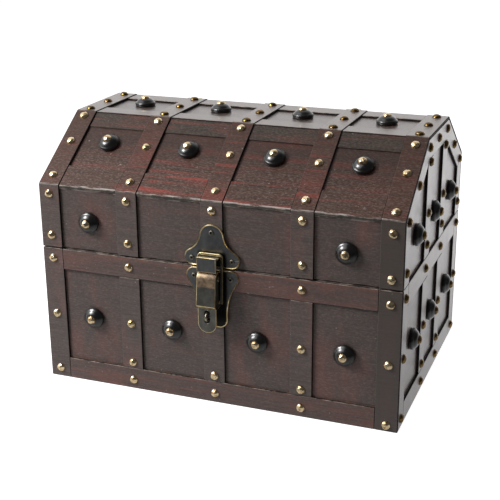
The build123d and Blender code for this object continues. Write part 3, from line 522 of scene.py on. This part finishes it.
def brass_finish(name, clean, dull, roughness):
    """Stamped brass, clean and dull in spots 2.4 mm across, with dents 1.6 mm across."""
    material, tree = new_material(name)
    colour = laid_over(tree, clean, dull, spotted(tree, 420.0, 2.0, 0.45, 0.7))
    dents = spotted(tree, 620.0, 1.0, 0.3, 0.7, 5.0)
    bump = add_node(tree, "Bump", {"Height": dents, "Strength": 0.5, "Distance": 0.0003})
    face = add_node(tree, "BsdfPrincipled", {
        "Base Color": colour, "Metallic": 1.0, "Roughness": roughness, "Normal": bump.outputs[0]})
    add_node(tree, "OutputMaterial", {"Surface": face.outputs[0]})
    return material


brass = brass_finish("polished_brass", "#f3dcb4", "#b08d58", 0.13)
# Dark brass: tarnish on the top's nails, and a painted reflection of the dark room on the ends' nails
tarnished_and_shaded_brass = brass_finish("tarnished_and_shaded_brass", "#7d643a", "#35291a", 0.2)
clean_head, dull_head = range(2)
nail_radius, nail_height, nail_shank = 0.0035, 0.0023, 0.008
# The dome's rings, as shares of its radius and height, and its dents: how many a metre, how deep, how
# high up the dome they start, and how far apart two nails' dents are picked
dome_rings = [(0.0, 1.0), (0.3, 0.97), (0.58, 0.84), (0.8, 0.6), (0.94, 0.3), (1.0, 0.08), (0.98, 0.0),
              (0.0, 0.0)]
dents_per_metre, dent_depth, dents_from, dents_apart = 380, 0.0004, 0.2, 10
# Seeded, so that every run dents and turns each nail the same way
chance = Random(7)
noise.seed_set(7)
nail_nodes = ["base_front_nails", "base_back_nails", "base_end_nails", "lid_front_nails",
              "lid_front_slope_nails", "lid_top_nails", "lid_rear_slope_nails", "lid_back_nails",
              "lid_end_nails"]


def hammered_dome():
    """One nail's head: a dome with a rolled rim and a few dents."""
    dome = bmesh.new()
    spun(dome, [(radius * nail_radius, height * nail_height) for radius, height in dome_rings], steps=14)
    shift = Vector((chance.random(), chance.random(), chance.random())) * dents_apart
    for vertex in dome.verts:
        if vertex.co.z > nail_height * dents_from:
            vertex.co += noise.noise_vector(vertex.co * dents_per_metre + shift) * dent_depth
            vertex.co.z = min(vertex.co.z, nail_height)
    shaded_smooth(dome)
    return dome


def drive_nail(heads, point, outward, is_dull):
    """Adds one nail's head to others, clean or tarnished."""
    dome = hammered_dome()
    for face in dome.faces:
        face.material_index = dull_head if is_dull else clean_head
    set_in_place(heads, dome, point, outward, chance.uniform(0, 2 * pi))
    dome.free()


for node_name in nail_nodes:
    heads = bmesh.new()
    for point, outward in stands(node_name, nail_shank):
        drive_nail(heads, point, outward, is_dull="end" in node_name or "top" in node_name)
    finished("hammered_" + node_name, heads, [brass, tarnished_and_shaded_brass], "brass_nail", node_name)

# The knobs
# Turned from hardwood with a drum and a blunt cone, painted gloss black, each held by a brass nail
# through its tip.

knob_paint, knob_tree = new_material("black_gloss_paint")
knob_colour = laid_over(knob_tree, "#070606", "#110e0d", spotted(knob_tree, 260.0, 2.0, 0.45, 0.7))
knob_face = add_node(knob_tree, "BsdfPrincipled", {
    "Base Color": knob_colour, "Roughness": 0.3, "Coat Weight": 0.6, "Coat Roughness": 0.12})
add_node(knob_tree, "OutputMaterial", {"Surface": knob_face.outputs[0]})

# Radius and height of each ring, in millimetres, from the foot up to the tip and down inside the bore
knob_rings = [(0.9, 0.0), (7.65, 0.0), (8.05, 0.4), (8.15, 0.9), (8.15, 2.3), (7.95, 2.85), (7.6, 3.25),
              (7.2, 3.5), (6.9, 3.75), (6.4, 4.35), (5.6, 5.05), (4.7, 5.65), (3.9, 6.0), (3.5, 6.1),
              (0.9, 6.1), (0.9, 0.0)]
knob_height, knob_nail_shank = 0.0061, 0.012
for half in ("base", "lid"):
    turned = bmesh.new()
    heads = bmesh.new()
    knob = bmesh.new()
    spun(knob, [(radius / 1000, height / 1000) for radius, height in knob_rings], steps=32)
    shaded_smooth(knob)
    for point, outward in stands(f"{half}_knob_nails", knob_nail_shank):
        set_in_place(turned, knob, point - outward * knob_height, outward)
        # The end knobs' nails take the dark brass as a painted reflection of the dark room
        drive_nail(heads, point, outward, is_dull=outward.x != 0)
    knob.free()
    finished(f"turned_{half}_knobs", turned, [knob_paint], "black_knob", f"{half}_knobs")
    finished(f"hammered_{half}_knob_nails", heads, [brass, tarnished_and_shaded_brass], "brass_nail",
             f"{half}_knob_nails")

# The latch plates
# Pressed steel sheet with an antique bronze plating: dark in its faces and rubbed back to bright
# yellow metal along its rims. The upper plate is bent out into a hook that ends in a tab.

# Where the lever and the bail cast the painted shadow on the plates: half its width, its top and its front,
# each from where the shade starts to where it is full
painted_shadow_side, painted_shadow_top, painted_shadow_front = (0.0120, 0.0100), (0.1222, 0.1195), (-0.1045, -0.1035)


def bronze_finish(name, dark, light, roughness, per_metre, painted_shadow_share=0.0):
    """Antique bronze plating in two tones, with a painted shadow, blacker by a share, where the lever and
    bail shade it.
    """
    material, tree = new_material(name)
    clouds = spotted(tree, per_metre, 4.0, 0.35, 0.7)
    tone = laid_over(tree, dark, light, clouds)
    if painted_shadow_share:
        inner = ramped(tree, "X", *painted_shadow_side, either_side_of=0.0)
        below = ramped(tree, "Z", *painted_shadow_top)
        behind = ramped(tree, "Y", *painted_shadow_front)
        low_inner = add_node(tree, "Math", {0: inner, 1: below}, operation="MULTIPLY").outputs[0]
        in_painted_shadow = add_node(tree, "Math", {0: low_inner, 1: behind}, operation="MULTIPLY").outputs[0]
        tone = laid_over(tree, tone, "#0a0807", in_painted_shadow, painted_shadow_share)
    bump = add_node(tree, "Bump", {"Height": clouds, "Strength": 0.15, "Distance": 0.0002})
    face = add_node(tree, "BsdfPrincipled", {
        "Base Color": tone, "Metallic": 1.0, "Roughness": roughness, "Normal": bump.outputs[0]})
    add_node(tree, "OutputMaterial", {"Surface": face.outputs[0]})
    return material


# The plates carry a near-black painted shadow behind the lever and the bail
plate_bronze = bronze_finish("antique_bronze_plates", "#67686a", "#7f8080", 0.38, 120.0, painted_shadow_share=0.9)
rubbed_bronze = bronze_finish("rubbed_bronze_edge", "#c2a56c", "#fbeabf", 0.3, 220.0)
plated_face, rubbed_face = range(2)
plate_front, tab_front, level_within, side_depth = -0.101, -0.1115, 0.0001, 0.0012
plate_rim_width, plate_rim_fall, tab_rim_width = 0.0006, 0.0003, 0.0005
hook_root_half_width, hook_root_foot, hook_root_top = 0.0085, 0.1155, 0.1215
# How much of a face's normal has to look forward for the face to count as sloping that way
sloping_forward = 0.3


def rolled_rim(form):
    """Gives a stamped plate its sloping rim, and its hook's tab a flat one, and gives back their faces."""
    forward = [face for face in form.faces if face.normal.y < -straight_on]
    front = [face for face in forward if abs(face.calc_center_median().y - plate_front) < level_within]
    outline = {vertex for face in front for vertex in face.verts}
    rim = bmesh.ops.inset_region(form, faces=front, thickness=plate_rim_width, depth=0.0,
                                 use_even_offset=True, use_boundary=True)["faces"]
    hook_root = {vertex for vertex in outline if abs(vertex.co.x) < hook_root_half_width
                 and hook_root_foot < vertex.co.z < hook_root_top}
    for vertex in outline - hook_root:
        if any(vertex in face.verts for face in rim):
            vertex.co.y += plate_rim_fall
    tab = [face for face in form.faces if face.normal.y < -straight_on
           and face.calc_center_median().y < tab_front]
    rims = [face for face in rim if not hook_root.intersection(face.verts)]
    if tab:
        rims += bmesh.ops.inset_region(form, faces=tab, thickness=tab_rim_width, depth=0.0)["faces"]
    return rims


for node_name in ("latch_upper_plate", "latch_lower_plate"):
    plate = whole_faced_copy(node_name)
    for face in plate.faces:
        is_side = abs(face.normal.y) < straight_on and face.calc_center_median().y > plate_front - side_depth
        is_tab_slope = -straight_on < face.normal.y < -sloping_forward
        face.material_index = rubbed_face if is_side or is_tab_slope else plated_face
    for face in rolled_rim(plate):
        face.material_index = rubbed_face
    finished("plated_" + node_name, plate, [plate_bronze, rubbed_bronze], "antique_bronze", node_name)

# The latch lever
# One folded sheet of the same plated steel, with a tongue slotted for the staple. Fingers have
# browned and dulled its upper face.

bronze = bronze_finish("antique_bronze_plating", "#66655f", "#82817a", 0.38, 160.0)
warm_bronze = bronze_finish("handled_bronze_face", "#6f6053", "#a08a70", 0.55, 420.0)
handled_face = 2
lever_easing, lever_shoulder, lever_heel, tongue_bend = 0.00055, 0.0975, 0.0836, 0.075
# How much of a face's normal has to look down for the face to count as the lever's underside
sloping_down = 0.4
slot_half_width, slot_foot, slot_top = 0.0030, 0.0680, 0.0810
lever = whole_faced_copy("latch_lever")
for face in lever.faces:
    height = face.calc_center_median().z
    if face.normal.y < -sloping_forward and height > lever_shoulder:
        face.material_index = handled_face
    if face.normal.z < -sloping_down and tongue_bend < height < lever_heel:
        face.material_index = rubbed_face
for face in rounded_over(lever, lever_easing, clamp=False):
    middle = face.calc_center_median()
    is_round_slot = abs(middle.x) < slot_half_width and slot_foot < middle.z < slot_top
    face.material_index = plated_face if is_round_slot else rubbed_face
finished("plated_latch_lever", lever, [bronze, rubbed_bronze, warm_bronze], "antique_bronze", "latch_lever")

# The latch bail
# A flat frame of the same plated steel, hung in the lever's sides. Its bar, feet and outer edges are
# rubbed bright, and the rest of its sides is still dark.

bail_easing, bail_rim_width, nearly_straight_on = 0.0005, 0.0004, 0.9
bail_bar_underside, bail_foot_top, bail_side_middle = 0.1186, 0.0865, 0.0093
bail = whole_faced_copy("latch_bail")
bmesh.ops.bisect_plane(bail, geom=bail.verts[:] + bail.edges[:] + bail.faces[:],
                       plane_co=(0, 0, bail_bar_underside), plane_no=(0, 0, 1))
for face in bail.faces:
    is_side = bail_foot_top < face.calc_center_median().z < bail_bar_underside
    face.material_index = plated_face if is_side else rubbed_face
side_fronts = [face for face in bail.faces if face.normal.y < -nearly_straight_on
               and face.material_index == plated_face]
bail_rim = bmesh.ops.inset_region(bail, faces=side_fronts, thickness=bail_rim_width, depth=0.0,
                                  use_boundary=True)["faces"]
for face in bail_rim:
    if abs(face.calc_center_median().x) > bail_side_middle:
        face.material_index = rubbed_face
for face in rounded_over(bail, bail_easing, clamp=False, chosen=lambda corner: corner.z > bail_foot_top):
    face.material_index = rubbed_face
finished("plated_latch_bail", bail, [bronze, rubbed_bronze], "antique_bronze", "latch_bail")

# The staple and the rivet
# The bent wire staple that a small padlock goes through, driven into the front board, and the rivet
# that the lever turns on. Both are plated steel with their edges rubbed bright.

staple_wire = bronze_finish("plated_staple_wire", "#8a8373", "#dcd4c0", 0.35, 300.0)
staple_easing, rivet_easing = 0.00005, 0.00015


def plated_part(node_name, face_finish, easing, clamp):
    """A CAD node in plated steel, its edges rounded and rubbed back to yellow metal."""
    part = whole_faced_copy(node_name)
    for face in rounded_over(part, easing, clamp):
        face.material_index = rubbed_face
    finished("plated_" + node_name, part, [face_finish, rubbed_bronze], "antique_bronze", node_name)


plated_part("latch_staple", staple_wire, staple_easing, clamp=False)
plated_part("latch_lever_rivet", bronze, rivet_easing, clamp=False)

# The latch screws
# Round-headed steel screws in the plates' holes, their plating worn and their recesses painted black,
# each turned its own way.

screw_steel = bronze_finish("worn_screw_heads", "#6b675e", "#8d877a", 0.45, 300.0)
black_recess = plain_finish("blackened_recess", "#050404", "#0c0a09", 300.0, share=0.5, roughness=0.8)
screw_face, recess_face = range(2)
screw_shank, recess_radius, recess_foot = 0.0075, 0.0009, 0.0001
# Radius and height of each ring, in millimetres, from the recess out to the rim and back under it
screw_rings = [(0.0, 0.15), (0.8, 0.15), (0.95, 0.5), (1.3, 0.5), (1.75, 0.32), (1.95, 0.05), (1.95, 0.0),
               (0.0, 0.0)]
screw = bmesh.new()
spun(screw, [(radius / 1000, height / 1000) for radius, height in screw_rings], steps=20)
for face in screw.faces:
    middle = face.calc_center_median()
    in_recess = Vector((middle.x, middle.y)).length < recess_radius and middle.z > recess_foot
    face.material_index = recess_face if in_recess else screw_face
for node_name in ("latch_upper_screws", "latch_lower_screws"):
    heads = bmesh.new()
    for point, outward in stands(node_name, screw_shank):
        set_in_place(heads, screw, point, outward, chance.uniform(0, 2 * pi))
    finished("turned_" + node_name, heads, [screw_steel, black_recess], "antique_bronze", node_name)
screw.free()

# The hinges
# Two small butt hinges of the same plated steel on the back, each with a pin and four screws.

hinge_easing = 0.00015
for node_name in ("hinge_left_base_leaf", "hinge_right_base_leaf", "hinge_left_lid_leaf",
                  "hinge_right_lid_leaf", "hinge_pins", "hinge_base_screws", "hinge_lid_screws"):
    plated_part(node_name, bronze, hinge_easing, clamp=True)
